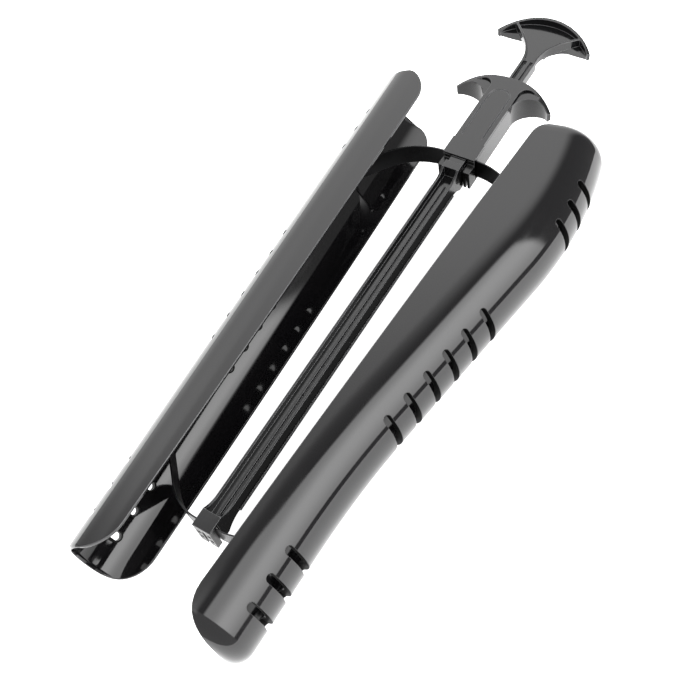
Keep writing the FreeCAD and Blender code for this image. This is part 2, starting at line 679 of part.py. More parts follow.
nodes = {}
for name, values in strips.items():
    bead = UPPER_BEAD_RADIUS if name.startswith("upper") else LOWER_BEAD_RADIUS
    nodes[name] = strip(*values, bead)
    pin_end = LUG_INNER_Z + LUG_THICK
    nodes[name.replace("spring", "pin")] = post(eyes[name][0], eyes[name][1], PIN_RADIUS, -pin_end, pin_end)

shin_steps = ((0, SHIN_RUN),)
calf_steps = ((0, CALF_LOW_RUN), (CALF_HOLLOW_RADIUS, CALF_HOLLOW_DEG), (0, CALF_MIDDLE_RUN),
              (CALF_BULGE_RADIUS, -CALF_BULGE_DEG), (0, CALF_TOP_RUN))
shin_eyes = [(-eyes[name][0], eyes[name][1]) for name in ("upper_left_spring", "lower_left_spring")]
calf_eyes = [eyes[name] for name in ("upper_right_spring", "lower_right_spring")]
shin = shell(Vector(SHIN_START_X, SHIN_START_Y, 0), math.radians(SHIN_START_DEG), shin_steps, (),
             (SHIN_RIM_LOW, SHIN_RIM_MID, SHIN_RIM_HIGH),
             (SHIN_LOW_CORNER, SHIN_HIGH_CORNER), shin_eyes)
nodes["left_shell"] = shin.mirror(Vector(0, 0, 0), Vector(1, 0, 0))
nodes["right_shell"] = shell(Vector(CALF_START_X, CALF_START_Y, 0), math.radians(CALF_START_DEG), calf_steps,
                             (CALF_LOW_CURL, CALF_HIGH_CURL), (CALF_RIM_LOW, CALF_RIM_MID, CALF_RIM_HIGH),
                             (CALF_LOW_CORNER, CALF_HIGH_CORNER), calf_eyes)
nodes["push_rod"] = push_rod()
nodes["grip_front"] = grip_front()
nodes["grip_back"] = grip_back()
nodes["upper_spring_keeper"] = upper_keeper()
nodes["lower_spring_keeper"] = lower_keeper()

os.makedirs("parts", exist_ok=True)
for name, shape in nodes.items():
    shape.translate(Vector(0, 0, SHELL_HALF_WIDTH))
    shape.exportStep("parts/" + name + ".step")
    print(name, len(shape.Solids), shape.isValid(), round(shape.Volume), shape.BoundBox)
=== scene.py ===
import math

import bmesh
import bpy
from mathutils import Matrix, Vector
from mathutils.geometry import delaunay_2d_cdt


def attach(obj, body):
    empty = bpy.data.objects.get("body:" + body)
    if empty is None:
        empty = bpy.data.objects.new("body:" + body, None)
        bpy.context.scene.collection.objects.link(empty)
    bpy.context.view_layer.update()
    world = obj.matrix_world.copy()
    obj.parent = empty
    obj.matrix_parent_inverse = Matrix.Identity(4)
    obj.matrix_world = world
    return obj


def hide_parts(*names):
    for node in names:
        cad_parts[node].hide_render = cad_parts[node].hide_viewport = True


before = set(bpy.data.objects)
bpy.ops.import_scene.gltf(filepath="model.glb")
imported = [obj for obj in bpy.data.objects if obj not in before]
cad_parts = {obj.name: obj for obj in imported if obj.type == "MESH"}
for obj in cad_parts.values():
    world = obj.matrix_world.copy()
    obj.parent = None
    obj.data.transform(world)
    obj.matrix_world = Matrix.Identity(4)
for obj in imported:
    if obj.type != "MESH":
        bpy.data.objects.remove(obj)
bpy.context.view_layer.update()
MM = 0.001

# Shell sizes in mm: crown lines, rims and slots follow the solids
HALF = 24.0
QUARTER = HALF * math.pi / 2
WALL = 1.8
SLOT_WIDTH = 4.2
SLOT_HALF = 16.8
SLOT_STRAIGHT = HALF * math.asin(SLOT_HALF / HALF) - SLOT_WIDTH / 2
SLOT_PITCH = 14.5
SLOT_GROUPS = ((-28.5, 3), (75.0, 6), (214.0, 3))
SLOT_ROWS = [first + SLOT_PITCH * n for first, count in SLOT_GROUPS for n in range(count)]
RIM_LOW_Y = -75.0
RIM_HIGH_Y = 307.0
SIDES = {
    "left": dict(side=-1, start=(51.8, -47.5), deg=2.85,
                 steps=((0, 324.0),),
                 rims=(25.1, 29.6, 36.6), corners=(19.7, 20.0), curls=(2.2, 2.2)),
    "right": dict(side=1, start=(48.84, -51.5), deg=1.37,
                  steps=((0, 61.9), (512.5, 8.15), (0, 103.8), (221.0, -21.0), (0, 14.7)),
                  rims=(19.8, 27.7, 37.8), corners=(20.0, 15.0), curls=(10.0, 11.4)),
}

# Rounded edges and the slots' inner collars in mm, which the solids leave out
RIM_EDGE = 0.5
SLOT_EDGE = 0.3
EDGE_TURNS = (30, 60, 90)
COLLAR_WIDTH = 1.0
COLLAR_DEPTH = 4.2

# Fineness of the shells' meshes in mm, and in degrees for the slots' round ends
HALVINGS = 40
NORMAL_STEP = 0.04
TANGENT_STEP = 0.2
LEAST_GAP = 1e-6
RIM_SEARCH = 30.0
RIM_RUNS = 110
RIM_END = 0.02
RIM_END_STEPS = [0.3, 0.7, 1.2, 2.0, 3.0, 4.0, 5.0, 6.5, 8.0, 9.5, 11.0, 13.0, 15.0, 17.0, 19.0, 21.0]
RIM_TIP = 2.5
RIM_STEP = 0.25
RIM_SPACING = 2.5
SLOT_SPACING = 2.0
SLOT_TURN = 15
GRID_START = 0.8
GRID_REACH = QUARTER + 22.0
GRID_GIRTH = 2.0
GRID_LENGTH = 3.0
GRID_END_LENGTH = 1.5
GRID_END = 22.0
RIM_CLEAR = 0.9
END_CLEAR = 0.7
SLOT_CLEAR = 0.8

# Material slots of the shells and mouldings
GLOSS_LOOK = 0
# Lighter black on rounded edges: a painted edge highlight
PAINTED_HIGHLIGHT_LOOK = 1
SLOT_LOOK = 2


def out_of(h):
    return Vector((math.cos(h), -math.sin(h), 0))


def along(h):
    return Vector((math.sin(h), math.cos(h), 0))


def last_before(low, high, holds):
    """Where a test that holds at first stops holding, found by halving."""
    for _ in range(HALVINGS):
        mid = (low + high) / 2
        if holds(mid):
            low = mid
        else:
            high = mid
    return low


class CrownLine:
    """Crown line of straight runs and true arcs, found by length from its lower end."""

    def __init__(self, start, deg, steps):
        self.legs = []
        p = Vector((start[0], start[1], 0))
        h = math.radians(deg)
        s = 0.0
        for radius, amount in steps:
            turn = math.radians(amount) if radius else 0.0
            length = abs(turn) * radius if radius else amount
            self.legs.append((s, length, p, h, radius, turn))
            p, h = self.move(p, h, radius, turn, length, length)
            s += length
        self.length = s

    def move(self, p, h, radius, turn, length, run):
        if not radius:
            return p + along(h) * run, h
        way = 1 if turn > 0 else -1
        centre = p + out_of(h) * (way * radius)
        g = h + turn * run / length
        return centre - out_of(g) * (way * radius), g

    def at(self, s):
        for start, length, p, h, radius, turn in self.legs:
            if s <= start + length or start + length >= self.length - LEAST_GAP:
                return self.move(p, h, radius, turn, length, s - start)


def arc_x(rims, y):
    """Rim's distance from the rod at a height, on the curve through its three points."""
    mid_y = (RIM_LOW_Y + RIM_HIGH_Y) / 2
    x1, x2, x3 = rims
    d1 = (y - mid_y) * (y - RIM_HIGH_Y) / ((RIM_LOW_Y - mid_y) * (RIM_LOW_Y - RIM_HIGH_Y))
    d2 = (y - RIM_LOW_Y) * (y - RIM_HIGH_Y) / ((mid_y - RIM_LOW_Y) * (mid_y - RIM_HIGH_Y))
    d3 = (y - RIM_LOW_Y) * (y - mid_y) / ((RIM_HIGH_Y - RIM_LOW_Y) * (RIM_HIGH_Y - mid_y))
    return x1 * d1 + x2 * d2 + x3 * d3


class Skin:
    """A shell's outer face over a flat (length, girth) plane.

    It has a half-round crown, straight walls and rolled ends.
    """

    def __init__(self, spec):
        self.side = spec["side"]
        self.line = CrownLine(spec["start"], spec["deg"], spec["steps"])
        self.curls = spec["curls"]
        self.rims = spec["rims"]
        self.corners = spec["corners"]
        self.length = self.line.length

    def roll(self, s):
        """Length along the line and inset for a flat length that runs round the rolled ends."""
        low, high = self.curls
        lows = low * math.pi / 2
        straight = self.length - low - high
        if s < lows:
            a = (lows - s) / low
            return low - low * math.sin(a), low - low * math.cos(a)
        if s > lows + straight:
            a = (s - lows - straight) / high
            return self.length - high + high * math.sin(a), high - high * math.cos(a)
        return low + s - lows, 0.0

    def flat_length(self):
        low, high = self.curls
        return self.length - low - high + (low + high) * math.pi / 2

    def local(self, s, w):
        """Point of the outer face, with x counted away from the rod and z from the middle plane."""
        t, inset = self.roll(s)
        half = HALF - inset
        p, h = self.line.at(t)
        reach = abs(w)
        if reach < QUARTER:
            a = reach / HALF
            deep = inset + half - half * math.cos(a)
            z = half * math.sin(a)
        else:
            deep = inset + half + (reach - QUARTER)
            z = half
        q = p - out_of(h) * deep
        return Vector((q.x, q.y, math.copysign(z, w)))

    def point(self, s, w):
        q = self.local(s, w)
        return Vector((self.side * q.x, q.y, HALF + q.z))

    def normal(self, s, w):
        e = NORMAL_STEP
        s = max(2 * e, min(self.flat_length() - 2 * e, s))
        a = self.point(s + e, w) - self.point(s - e, w)
        b = self.point(s, w + e) - self.point(s, w - e)
        n = a.cross(b)
        n = -n if self.side < 0 else n
        return n.normalized()

    def rim_gap(self, q):
        """How far a point lies outside the rim's side outline, with the corner arcs."""
        gap = q.x - arc_x(self.rims, q.y)
        for end, way, radius in ((0.0, -1, self.corners[0]), (self.length, 1, self.corners[1])):
            p, h = self.line.at(end)
            to_end = -(q - p).dot(along(h)) * way
            if to_end < radius and gap < radius:
                gap = min(gap, radius - math.hypot(radius - max(to_end, 0.0), radius - gap))
        return gap

    def rim_w(self, s):
        """Girth at which the wall meets the rim's side outline, rounded at both corners."""
        return last_before(0.0, QUARTER + RIM_SEARCH, lambda w: self.rim_gap(self.local(s, w)) > 0)

    def length_at(self, y):
        """Flat length at which the crown line reaches a height."""
        return last_before(0.0, self.flat_length(), lambda s: self.local(s, 0.0).y < y)


def densified(points, spacing):
    """Closed loop with points added on its longer sides."""
    dense = []
    for i, p in enumerate(points):
        q = points[(i + 1) % len(points)]
        n = max(1, int(math.hypot(q[0] - p[0], q[1] - p[1]) / spacing))
        dense += [(p[0] + (q[0] - p[0]) * k / n, p[1] + (q[1] - p[1]) * k / n) for k in range(n)]
    return dense


def rim_loop(skin):
    """Closed flat outline of the shell, counter-clockwise."""
    total = skin.flat_length()
    even = [RIM_END + (total - 2 * RIM_END) * k / RIM_RUNS for k in range(RIM_RUNS + 1)]
    up = []
    for s in sorted(set(even + RIM_END_STEPS + [total - step for step in RIM_END_STEPS])):
        w = skin.rim_w(s)
        if w > RIM_TIP and (not up or s - up[-1][0] > RIM_STEP):
            up.append((s, w))
    return densified([(s, -w) for s, w in up] + [(s, w) for s, w in reversed(up)], RIM_SPACING)


def slot_loop(centre):
    """One slot's flat outline, counter-clockwise."""
    radius = SLOT_WIDTH / 2
    points = []
    for end, first in ((SLOT_STRAIGHT, 0), (-SLOT_STRAIGHT, 180)):
        for turn in range(first, first + 180 + SLOT_TURN, SLOT_TURN):
            a = math.radians(turn)
            points.append((centre + radius * math.cos(a), end + radius * math.sin(a)))
    return densified(points, SLOT_SPACING)


def inward(loop, sign):
    """Unit directions that point from a loop into the material."""
    out = []
    for i in range(len(loop)):
        a = loop[i - 1]
        b = loop[(i + 1) % len(loop)]
        d = Vector((b[0] - a[0], b[1] - a[1])).normalized()
        out.append(Vector((-d.y, d.x)) * sign)
    return out


def in_loop(s, w, loop):
    hit = False
    for a, b in zip(loop, loop[1:] + loop[:1]):
        if (a[1] > w) != (b[1] > w) and s < a[0] + (w - a[1]) * (b[0] - a[0]) / (b[1] - a[1]):
            hit = not hit
    return hit


def near_slot(s, w, centres):
    reach = SLOT_WIDTH / 2 + (COLLAR_WIDTH + SLOT_CLEAR)
    past = max(0, abs(w) - SLOT_STRAIGHT)
    return any(math.hypot(s - c, past) < reach for c in centres)


def shell_grid(skin, centres):
    """Flat points that fill the shell's face in staggered rows, clear of its rim and slots."""
    total = skin.flat_length()
    points = []
    row = 0
    s = GRID_START
    while s < total:
        limit = skin.rim_w(s) - RIM_EDGE - RIM_CLEAR
        w = -GRID_REACH + (GRID_GIRTH / 2 if row % 2 else 0.0)
        while w < GRID_REACH:
            inside = abs(w) < limit and RIM_EDGE + END_CLEAR < s < total - RIM_EDGE - END_CLEAR
            if inside and not near_slot(s, w, centres):
                points.append(Vector((s, w)))
            w += GRID_GIRTH
        s += GRID_END_LENGTH if min(s, total - s) < GRID_END else GRID_LENGTH
        row += 1
    return points


def edge_rows(edge, depth, collar):
    """Rings round an edge, from the outer face to the inner: inset, depth, and the normal's two parts."""
    turns = [(math.cos(math.radians(t)), math.sin(math.radians(t))) for t in EDGE_TURNS]
    over = [(edge * (1 - s), edge * (1 - c), c, s) for c, s in turns]
    under = [(edge * (1 - s), depth - edge * (1 - c), -c, s) for c, s in reversed(turns)]
    if not collar:
        return over + under
    foot = [(edge, depth, -1.0, 0.0), (collar - edge, depth, -1.0, 0.0)]
    back = [(collar - edge * (1 - s), depth - edge * (1 - c), -c, -s) for c, s in turns]
    return [(edge, 0.0, 1.0, 0.0)] + over + under + foot + back


def edge_ring(skin, loop, way, inset, depth, lean_out, lean_side):
    """Points and normals of one ring along an edge, at an inset from it and a depth under the outer face."""
    points = []
    normals = []
    for p, d in zip(loop, way):
        q = Vector(p) + d * inset
        n = skin.normal(q.x, q.y)
        point = skin.point(q.x, q.y)
        tangent = skin.point(q.x + d.x * TANGENT_STEP, q.y + d.y * TANGENT_STEP) - point
        tangent = (tangent - n * tangent.dot(n)).normalized()
        points.append(point - n * depth)
        normals.append((n * lean_out - tangent * lean_side).normalized())
    return points, normals


def turned(face, verts, normals):
    """Whether a face's corners run the wrong way round for its normals."""
    a, b, c = (verts[i] for i in face[:3])
    return (b - a).cross(c - a).dot(normals[face[0]] + normals[face[2]]) < 0


def make_shell(name):
    """A shell as one closed mesh: outer face, inner face, rounded rim, and slots with collars inside."""
    skin = Skin(SIDES[name])
    centres = [skin.length_at(y) for y in SLOT_ROWS]
    loops = [rim_loop(skin)] + [slot_loop(c) for c in centres]
    ways = [inward(loops[0], 1)] + [inward(loop, -1) for loop in loops[1:]]
    turns = len(EDGE_TURNS)
    # The rim's rounded edge takes the lighter painted edge highlight; the slots' edges stay glossy
    rim = (RIM_EDGE, WALL, 0.0, [PAINTED_HIGHLIGHT_LOOK] * turns + [GLOSS_LOOK] * (turns + 1))
    slot = (SLOT_EDGE, COLLAR_DEPTH, COLLAR_WIDTH, [GLOSS_LOOK] * turns + [SLOT_LOOK] * (2 * turns + 4))
    kinds = [rim] + [slot] * len(centres)

    flat = []
    edges = []
    outlines = []
    for loop, way, (edge, _, collar, _) in zip(loops, ways, kinds):
        start = len(flat)
        flat += [Vector(p) + d * max(edge, collar) for p, d in zip(loop, way)]
        edges += [(start + i, start + (i + 1) % len(loop)) for i in range(len(loop))]
        outlines.append([tuple(v) for v in flat[start:]])
    border = outlines[0]
    holes = list(zip(centres, outlines[1:]))
    flat += shell_grid(skin, centres)
    co, _, faces, sources = delaunay_2d_cdt(flat, edges, [], 0, LEAST_GAP)[:4]
    new_at = {old: new for new, olds in enumerate(sources) for old in olds}

    kept = []
    for f in faces:
        s = sum(co[i][0] for i in f) / len(f)
        w = sum(co[i][1] for i in f) / len(f)
        in_hole = any(in_loop(s, w, hole) for c, hole in holes if abs(s - c) < SLOT_WIDTH)
        if in_loop(s, w, border) and not in_hole:
            kept.append(f)

    verts = []
    normals = []
    outer_at = {}
    inner_at = {}
    for f in kept:
        for i in f:
            if i in outer_at:
                continue
            p = skin.point(co[i][0], co[i][1])
            n = skin.normal(co[i][0], co[i][1])
            outer_at[i] = len(verts)
            inner_at[i] = len(verts) + 1
            verts += [p, p - n * WALL]
            normals += [n, -n]
    flip = turned([outer_at[i] for i in kept[0]], verts, normals)
    polygons = []
    for f in kept:
        face = list(reversed(f)) if flip else list(f)
        polygons.append([outer_at[i] for i in face])
        polygons.append([inner_at[i] for i in reversed(face)])
    looks = [GLOSS_LOOK] * len(polygons)

    at = 0
    for loop, way, (edge, depth, collar, strip_looks) in zip(loops, ways, kinds):
        count = len(loop)
        rings = [[outer_at[new_at[at + i]] for i in range(count)]]
        for row in edge_rows(edge, depth, collar):
            points, leans = edge_ring(skin, loop, way, *row)
            rings.append(list(range(len(verts), len(verts) + count)))
            verts += points
            normals += leans
        rings.append([inner_at[new_at[at + i]] for i in range(count)])
        for look, one, two in zip(strip_looks, rings, rings[1:]):
            looks += [look] * count
            for i in range(count):
                j = (i + 1) % count
                quad = [one[i], one[j], two[j], two[i]]
                if turned(quad, verts, normals):
                    quad.reverse()
                polygons.append(quad)
        at += count

    mesh = bpy.data.meshes.new(name + "_shell_skin")
    mesh.from_pydata([v * MM for v in verts], [], polygons)
    mesh.polygons.foreach_set("material_index", looks)
    mesh.validate()
    for p in mesh.polygons:
        p.use_smooth = True
    mesh.normals_split_custom_set_from_vertices([tuple(n) for n in normals])
    obj = bpy.data.objects.new(name + "_shell_skin", mesh)
    bpy.context.scene.collection.objects.link(obj)
    return obj


# Spring strips, pins and lugs in mm, the same as the solids'
STRIP_WIDTH = 12.7
STRIP_THICK = 0.8
EYE_INNER = 2.3
EYE_OUTER = 3.1
STRIPS = {
    "upper_left": dict(root=(-7.6, 242.0), side=-1, up=-1, lead=2.4,
                       radius=38.0, deg=54.0, reach=28.5, bead=1.2),
    "upper_right": dict(root=(7.6, 242.0), side=1, up=-1, lead=2.4,
                        radius=38.0, deg=54.0, reach=45.2, bead=1.2),
    "lower_left": dict(root=(-3.2, -5.35), side=-1, up=1, lead=3.2,
                       radius=28.0, deg=46.0, reach=31.8, bead=1.05),
    "lower_right": dict(root=(3.2, -5.35), side=1, up=1, lead=3.2,
                        radius=28.0, deg=46.0, reach=24.7, bead=1.05),
}
PIN_RADIUS = 1.2
LUG_INNER_Z = 6.9
LUG_THICK = 2.2
LUG_RADIUS = 3.6

# Overlaps in mm and counts of straight sides for the round forms
EYE_OVERLAP = 0.2
LUG_SINK = 0.5
STRIP_BENDS = 28
EYE_SIDES = 40
BEAD_SIDES = 24
PIN_SIDES = 32
LUG_TURNS = 16

# Bevel widths in mm and the least angle in degrees that gets one
STRIP_BEVEL = 0.15
LUG_BEVEL = 0.3
PIN_BEVEL = 0.25
BEVEL_ANGLE = 30.0
MOULDING_ANGLE = 25.0

# Cleaning of the solids' meshes: weld gap in metres and flat angle in degrees
WELD_GAP = 2e-6
FLAT_ANGLE = 1.0


def strip_point(spec, along_run, across):
    return spec["root"][0] + spec["side"] * along_run, spec["root"][1] + spec["up"] * across


def strip_eye(spec):
    bend = math.radians(spec["deg"])
    radius, reach = spec["radius"], spec["reach"]
    return strip_point(spec, spec["lead"] + radius * math.sin(bend) + reach * math.cos(bend),
                       radius * (1 - math.cos(bend)) + reach * math.sin(bend))


def strip_outline(spec):
    """Side outline of a strip, as one loop: out along one face to the eye and back along the other."""
    thin = STRIP_THICK / 2
    bend = math.radians(spec["deg"])
    radius, lead = spec["radius"], spec["lead"]
    run = spec["reach"] - (EYE_INNER + EYE_OUTER) / 2 + EYE_OVERLAP
    faces = []
    for offset in (thin, -thin):
        r = radius - offset
        face = [(0.0, offset), (lead, offset)]
        for n in range(1, STRIP_BENDS + 1):
            turn = bend * n / STRIP_BENDS
            face.append((lead + r * math.sin(turn), radius - r * math.cos(turn)))
        end = face[-1]
        face.append((end[0] + run * math.cos(bend), end[1] + run * math.sin(bend)))
        faces.append(face)
    loop = faces[0] + list(reversed(faces[1]))
    return [strip_point(spec, a, b) for a, b in loop]


def add_object(name, bm):
    bmesh.ops.recalc_face_normals(bm, faces=bm.faces)
    mesh = bpy.data.meshes.new(name)
    bm.to_mesh(mesh)
    bm.free()
    obj = bpy.data.objects.new(name, mesh)
    bpy.context.scene.collection.objects.link(obj)
    return obj


def extrude_loop(bm, loop, z0, z1):
    """Closed plate from a flat loop of (x, y) points in mm."""
    face = bm.faces.new([bm.verts.new((x * MM, y * MM, z0 * MM)) for x, y in loop])
    top = bmesh.ops.extrude_face_region(bm, geom=[face])
    verts = [v for v in top["geom"] if isinstance(v, bmesh.types.BMVert)]
    bmesh.ops.translate(bm, verts=verts, vec=(0, 0, (z1 - z0) * MM))


def circle(x, y, radius, count):
    turns = [2 * math.pi * n / count for n in range(count)]
    return [(x + radius * math.cos(turn), y + radius * math.sin(turn)) for turn in turns]


def add_tube(bm, x, y, inner, outer, z0, z1):
    """Rolled eye: a short tube."""
    rows = []
    for radius, z in ((outer, z0), (outer, z1), (inner, z1), (inner, z0)):
        rows.append([bm.verts.new((a * MM, b * MM, z * MM)) for a, b in circle(x, y, radius, EYE_SIDES)])
    for one, two in zip(rows, rows[1:] + rows[:1]):
        for n in range(EYE_SIDES):
            m = (n + 1) % EYE_SIDES
            bm.faces.new((one[n], one[m], two[m], two[n]))


def rounded(obj, width, angle, edge_look=-1):
    """Shades an object smooth and bevels its sharp edges, in another look if one is given."""
    for p in obj.data.polygons:
        p.use_smooth = True
    bevel = obj.modifiers.new("edges", "BEVEL")
    bevel.width = width * MM
    bevel.segments = 2
    bevel.material = edge_look
    bevel.use_clamp_overlap = False
    bevel.limit_method = "ANGLE"
    bevel.angle_limit = math.radians(angle)
    weigh = obj.modifiers.new("normals", "WEIGHTED_NORMAL")
    weigh.keep_sharp = True


def make_strip(name):
    """Spring strip with a bead at its root and a rolled eye at its end."""
    spec = STRIPS[name]
    z0 = HALF - STRIP_WIDTH / 2
    z1 = HALF + STRIP_WIDTH / 2
    bm = bmesh.new()
    extrude_loop(bm, strip_outline(spec), z0, z1)
    extrude_loop(bm, circle(spec["root"][0], spec["root"][1], spec["bead"], BEAD_SIDES), z0, z1)
    x, y = strip_eye(spec)
    add_tube(bm, x, y, EYE_INNER, EYE_OUTER, z0, z1)
    obj = add_object(name + "_spring_strip", bm)
    rounded(obj, STRIP_BEVEL, BEVEL_ANGLE)
    return obj


def make_lugs(name):
    """Two ears for each pin, rounded round the pin and running into the crown."""
    spec = SIDES[name]
    skin = Skin(spec)
    bm = bmesh.new()
    for which in ("upper_", "lower_"):
        x, y = strip_eye(STRIPS[which + name])
        crown = skin.local(skin.length_at(y), 0.0).x
        for z in (LUG_INNER_Z, -LUG_INNER_Z - LUG_THICK):
            far = max(abs(z), abs(z + LUG_THICK))
            root = crown - HALF + math.sqrt((HALF - WALL) ** 2 - far ** 2) + LUG_SINK
            loop = []
            for n in range(LUG_TURNS + 1):
                turn = math.radians(90 + 180 * n / LUG_TURNS)
                loop.append((abs(x) + LUG_RADIUS * math.cos(turn), y + LUG_RADIUS * math.sin(turn)))
            loop += [(root, y - LUG_RADIUS), (root, y + LUG_RADIUS)]
            extrude_loop(bm, [(spec["side"] * a, b) for a, b in loop], HALF + z, HALF + z + LUG_THICK)
    obj = add_object(name + "_shell_lugs", bm)
    rounded(obj, LUG_BEVEL, BEVEL_ANGLE)
    return obj


def make_pin(name):
    """Pin with rounded ends, flush with the lugs."""
    x, y = strip_eye(STRIPS[name])
    half = LUG_INNER_Z + LUG_THICK
    bm = bmesh.new()
    extrude_loop(bm, circle(x, y, PIN_RADIUS, PIN_SIDES), HALF - half, HALF + half)
    obj = add_object(name + "_pin_steel", bm)
    rounded(obj, PIN_BEVEL, BEVEL_ANGLE)
    return obj


def softened(node, name, width):
    """Copy of a CAD solid with rounded edges, whose bevel faces get a lighter colour: a painted edge
    highlight.
    """
    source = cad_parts[node]
    mesh = source.data.copy()
    mesh.name = name
    bm = bmesh.new()
    bm.from_mesh(mesh)
    bmesh.ops.remove_doubles(bm, verts=bm.verts, dist=WELD_GAP)
    bmesh.ops.dissolve_limit(bm, angle_limit=math.radians(FLAT_ANGLE), verts=bm.verts, edges=bm.edges)
    bm.to_mesh(mesh)
    bm.free()
    mesh.materials.clear()
    obj = bpy.data.objects.new(name, mesh)
    bpy.context.scene.collection.objects.link(obj)
    obj.matrix_world = source.matrix_world.copy()
    rounded(obj, width, MOULDING_ANGLE, PAINTED_HIGHLIGHT_LOOK)
    return obj


# Materials, with noise scales per metre
CLOUD_DETAIL = 5.0
CLOUD_GLOSS = 0.03
SCRATCH_SCALE = 260.0
SCRATCH_DETAIL = 4.0
SCRATCH_STRETCH = (1.0, 0.03, 1.0)
SCRATCH_RANGE = (0.5, 0.8)
GRAIN_SCALE = 1600.0
GRAIN_DETAIL = 3.0
GRAIN_DEPTH = 0.0002
NOISE_RANGE = (0.3, 0.7)


def add_noise(nodes, links, vector, scale, detail, stretch=(1, 1, 1)):
    shape = nodes.new("ShaderNodeMapping")
    shape.inputs["Scale"].default_value = stretch
    links.new(vector, shape.inputs["Vector"])
    noise = nodes.new("ShaderNodeTexNoise")
    noise.inputs["Scale"].default_value = scale
    noise.inputs["Detail"].default_value = detail
    links.new(shape.outputs["Vector"], noise.inputs["Vector"])
    return noise.outputs["Fac"]


def spread(nodes, links, value, low, high, span):
    """Maps a value's span onto the run from low to high."""
    ramp = nodes.new("ShaderNodeMapRange")
    ramp.inputs["From Min"].default_value = span[0]
    ramp.inputs["From Max"].default_value = span[1]
    ramp.inputs["To Min"].default_value = low
    ramp.inputs["To Max"].default_value = high
    links.new(value, ramp.inputs["Value"])
    return ramp.outputs["Result"]


def blend_colours(nodes, links, factor, one, two):
    mix = nodes.new("ShaderNodeMix")
    mix.data_type = "RGBA"
    mix.inputs["A"].default_value = one + (1,)
    mix.inputs["B"].default_value = two + (1,)
    links.new(factor, mix.inputs["Factor"])
    return mix.outputs["Result"]


def material(name, dark, light, rough, cloud, grain, scratch, metallic=0.0, ior=1.5):
    """Moulded or drawn surface: cloudy colour and gloss, fine grain, and faint scratches along its length."""
    m = bpy.data.materials.new(name)
    m.use_nodes = True
    nodes = m.node_tree.nodes
    links = m.node_tree.links
    shader = nodes["Principled BSDF"]
    shader.inputs["Metallic"].default_value = metallic
    shader.inputs["IOR"].default_value = ior
    where = nodes.new("ShaderNodeTexCoord").outputs["Object"]
    clouds = add_noise(nodes, links, where, cloud, CLOUD_DETAIL)
    links.new(blend_colours(nodes, links, clouds, dark, light), shader.inputs["Base Color"])
    lines = add_noise(nodes, links, where, SCRATCH_SCALE, SCRATCH_DETAIL, SCRATCH_STRETCH)
    gloss = nodes.new("ShaderNodeMath")
    gloss.operation = "ADD"
    cloudy = spread(nodes, links, clouds, rough - CLOUD_GLOSS, rough + CLOUD_GLOSS, NOISE_RANGE)
    links.new(cloudy, gloss.inputs[0])
    links.new(spread(nodes, links, lines, 0.0, scratch, SCRATCH_RANGE), gloss.inputs[1])
    links.new(gloss.outputs["Value"], shader.inputs["Roughness"])
    bump = nodes.new("ShaderNodeBump")
    bump.inputs["Strength"].default_value = grain
    bump.inputs["Distance"].default_value = GRAIN_DEPTH
    links.new(add_noise(nodes, links, where, GRAIN_SCALE, GRAIN_DETAIL), bump.inputs["Height"])
    links.new(bump.outputs["Normal"], shader.inputs["Normal"])
    return m


shell_black = material("shell_black", (0.003, 0.003, 0.0035), (0.006, 0.0055, 0.006),
                       rough=0.06, cloud=40.0, grain=0.012, scratch=0.04)
frame_black = material("frame_black", (0.004, 0.004, 0.0045), (0.008, 0.008, 0.0085),
                       rough=0.12, cloud=70.0, grain=0.02, scratch=0.05)
keeper_black = material("keeper_black", (0.003, 0.003, 0.003), (0.006, 0.006, 0.006),
                        rough=0.28, cloud=90.0, grain=0.06, scratch=0.05)
slot_black = material("slot_black", (0.003, 0.003, 0.003), (0.006, 0.006, 0.006),
                      rough=0.5, cloud=90.0, grain=0.06, scratch=0.05, ior=1.2)
# Lighter black on the mouldings' bevels and the shells' rims: a painted edge highlight
painted_highlight_black = material("painted_highlight_black", (0.05, 0.05, 0.052), (0.08, 0.08, 0.082),
                        rough=0.25, cloud=90.0, grain=0.02, scratch=0.05)
spring_steel = material("spring_steel", (0.03, 0.03, 0.031), (0.05, 0.05, 0.052),
                        rough=0.3, cloud=120.0, grain=0.05, scratch=0.12, metallic=1.0)
pin_steel = material("pin_steel", (0.45, 0.45, 0.46), (0.6, 0.6, 0.61),
                     rough=0.22, cloud=150.0, grain=0.04, scratch=0.1, metallic=1.0)

# Pieces on their bodies, with the mouldings' bevel widths in mm
MOULDINGS = (
    ("push_rod", "rod", 0.3, frame_black, "frame_plastic"),
    ("grip_front", "grip", 0.3, frame_black, "frame_plastic"),
    ("grip_back", "grip", 0.3, frame_black, "frame_plastic"),
    ("upper_spring_keeper", "grip", 0.25, keeper_black, "keeper_plastic"),
    ("lower_spring_keeper", "rod", 0.25, keeper_black, "keeper_plastic"),
)


def place(piece, looks, body, node=None):
    for look in looks:
        piece.data.materials.append(look)
    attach(piece, body)
    if node:
        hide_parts(node)


for name in SIDES:
    body = name + "_shell_side"
    place(make_shell(name), (shell_black, painted_highlight_black, slot_black), body, name + "_shell")
    place(make_lugs(name), (shell_black,), body)

for node, body, width, look, slot in MOULDINGS:
    place(softened(node, node + "_moulding", width), (look, painted_highlight_black), body, node)

for name in STRIPS:
    place(make_strip(name), (spring_steel,), name + "_strip", name + "_spring")
    place(make_pin(name), (pin_steel,), name.split("_")[1] + "_shell_side", name + "_pin")

# Camera at the photograph's viewing angle: its place in metres and its three axes
SENSOR_SIZE = 36.0
LENS = 51.42
NEAR_CLIP = 0.01
CAMERA_PLACE = Vector((0.1935, -0.0852, 0.4376))
CAMERA_RIGHT = Vector((0.84141405, 0.51989256, -0.14742498))
CAMERA_UP = Vector((-0.3748386, 0.7580136, 0.53377093))
CAMERA_BACK = Vector((0.38925368, -0.39386178, 0.83267909))

